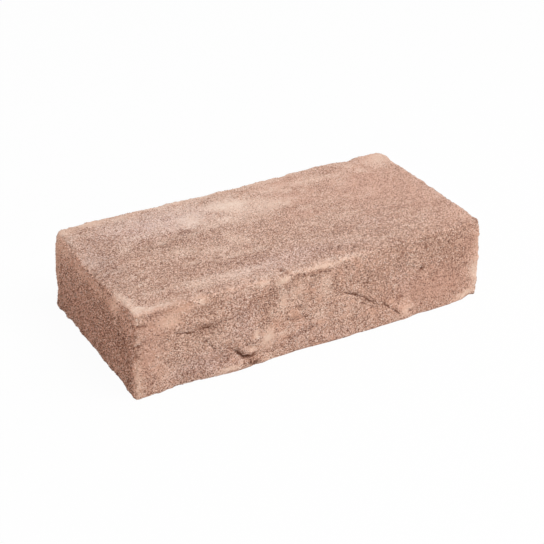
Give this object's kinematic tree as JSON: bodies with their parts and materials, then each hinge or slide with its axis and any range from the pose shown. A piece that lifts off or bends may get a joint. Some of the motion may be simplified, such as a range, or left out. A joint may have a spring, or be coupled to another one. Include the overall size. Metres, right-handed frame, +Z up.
{
  "type": "clay brick",
  "caption": "Hand-moulded clay facing brick: a solid sanded block with soft uneven arrises and fold creases in its front face.",
  "frame": {"origin": "centre of the bed, the flat face that the brick lies on", "axes": "+X along the length, +Y from the creased front stretcher face to the back one, +Z up"},
  "size_m": [0.2118, 0.1046, 0.0484],
  "materials": {
    "fired_clay": "matt, open and sanded: pinkish-brown fired clay with a coat of fine dark and pale sand"
  },
  "bodies": {
    "root": {"brick": "fired_clay"}
  },
  "joints": []
}
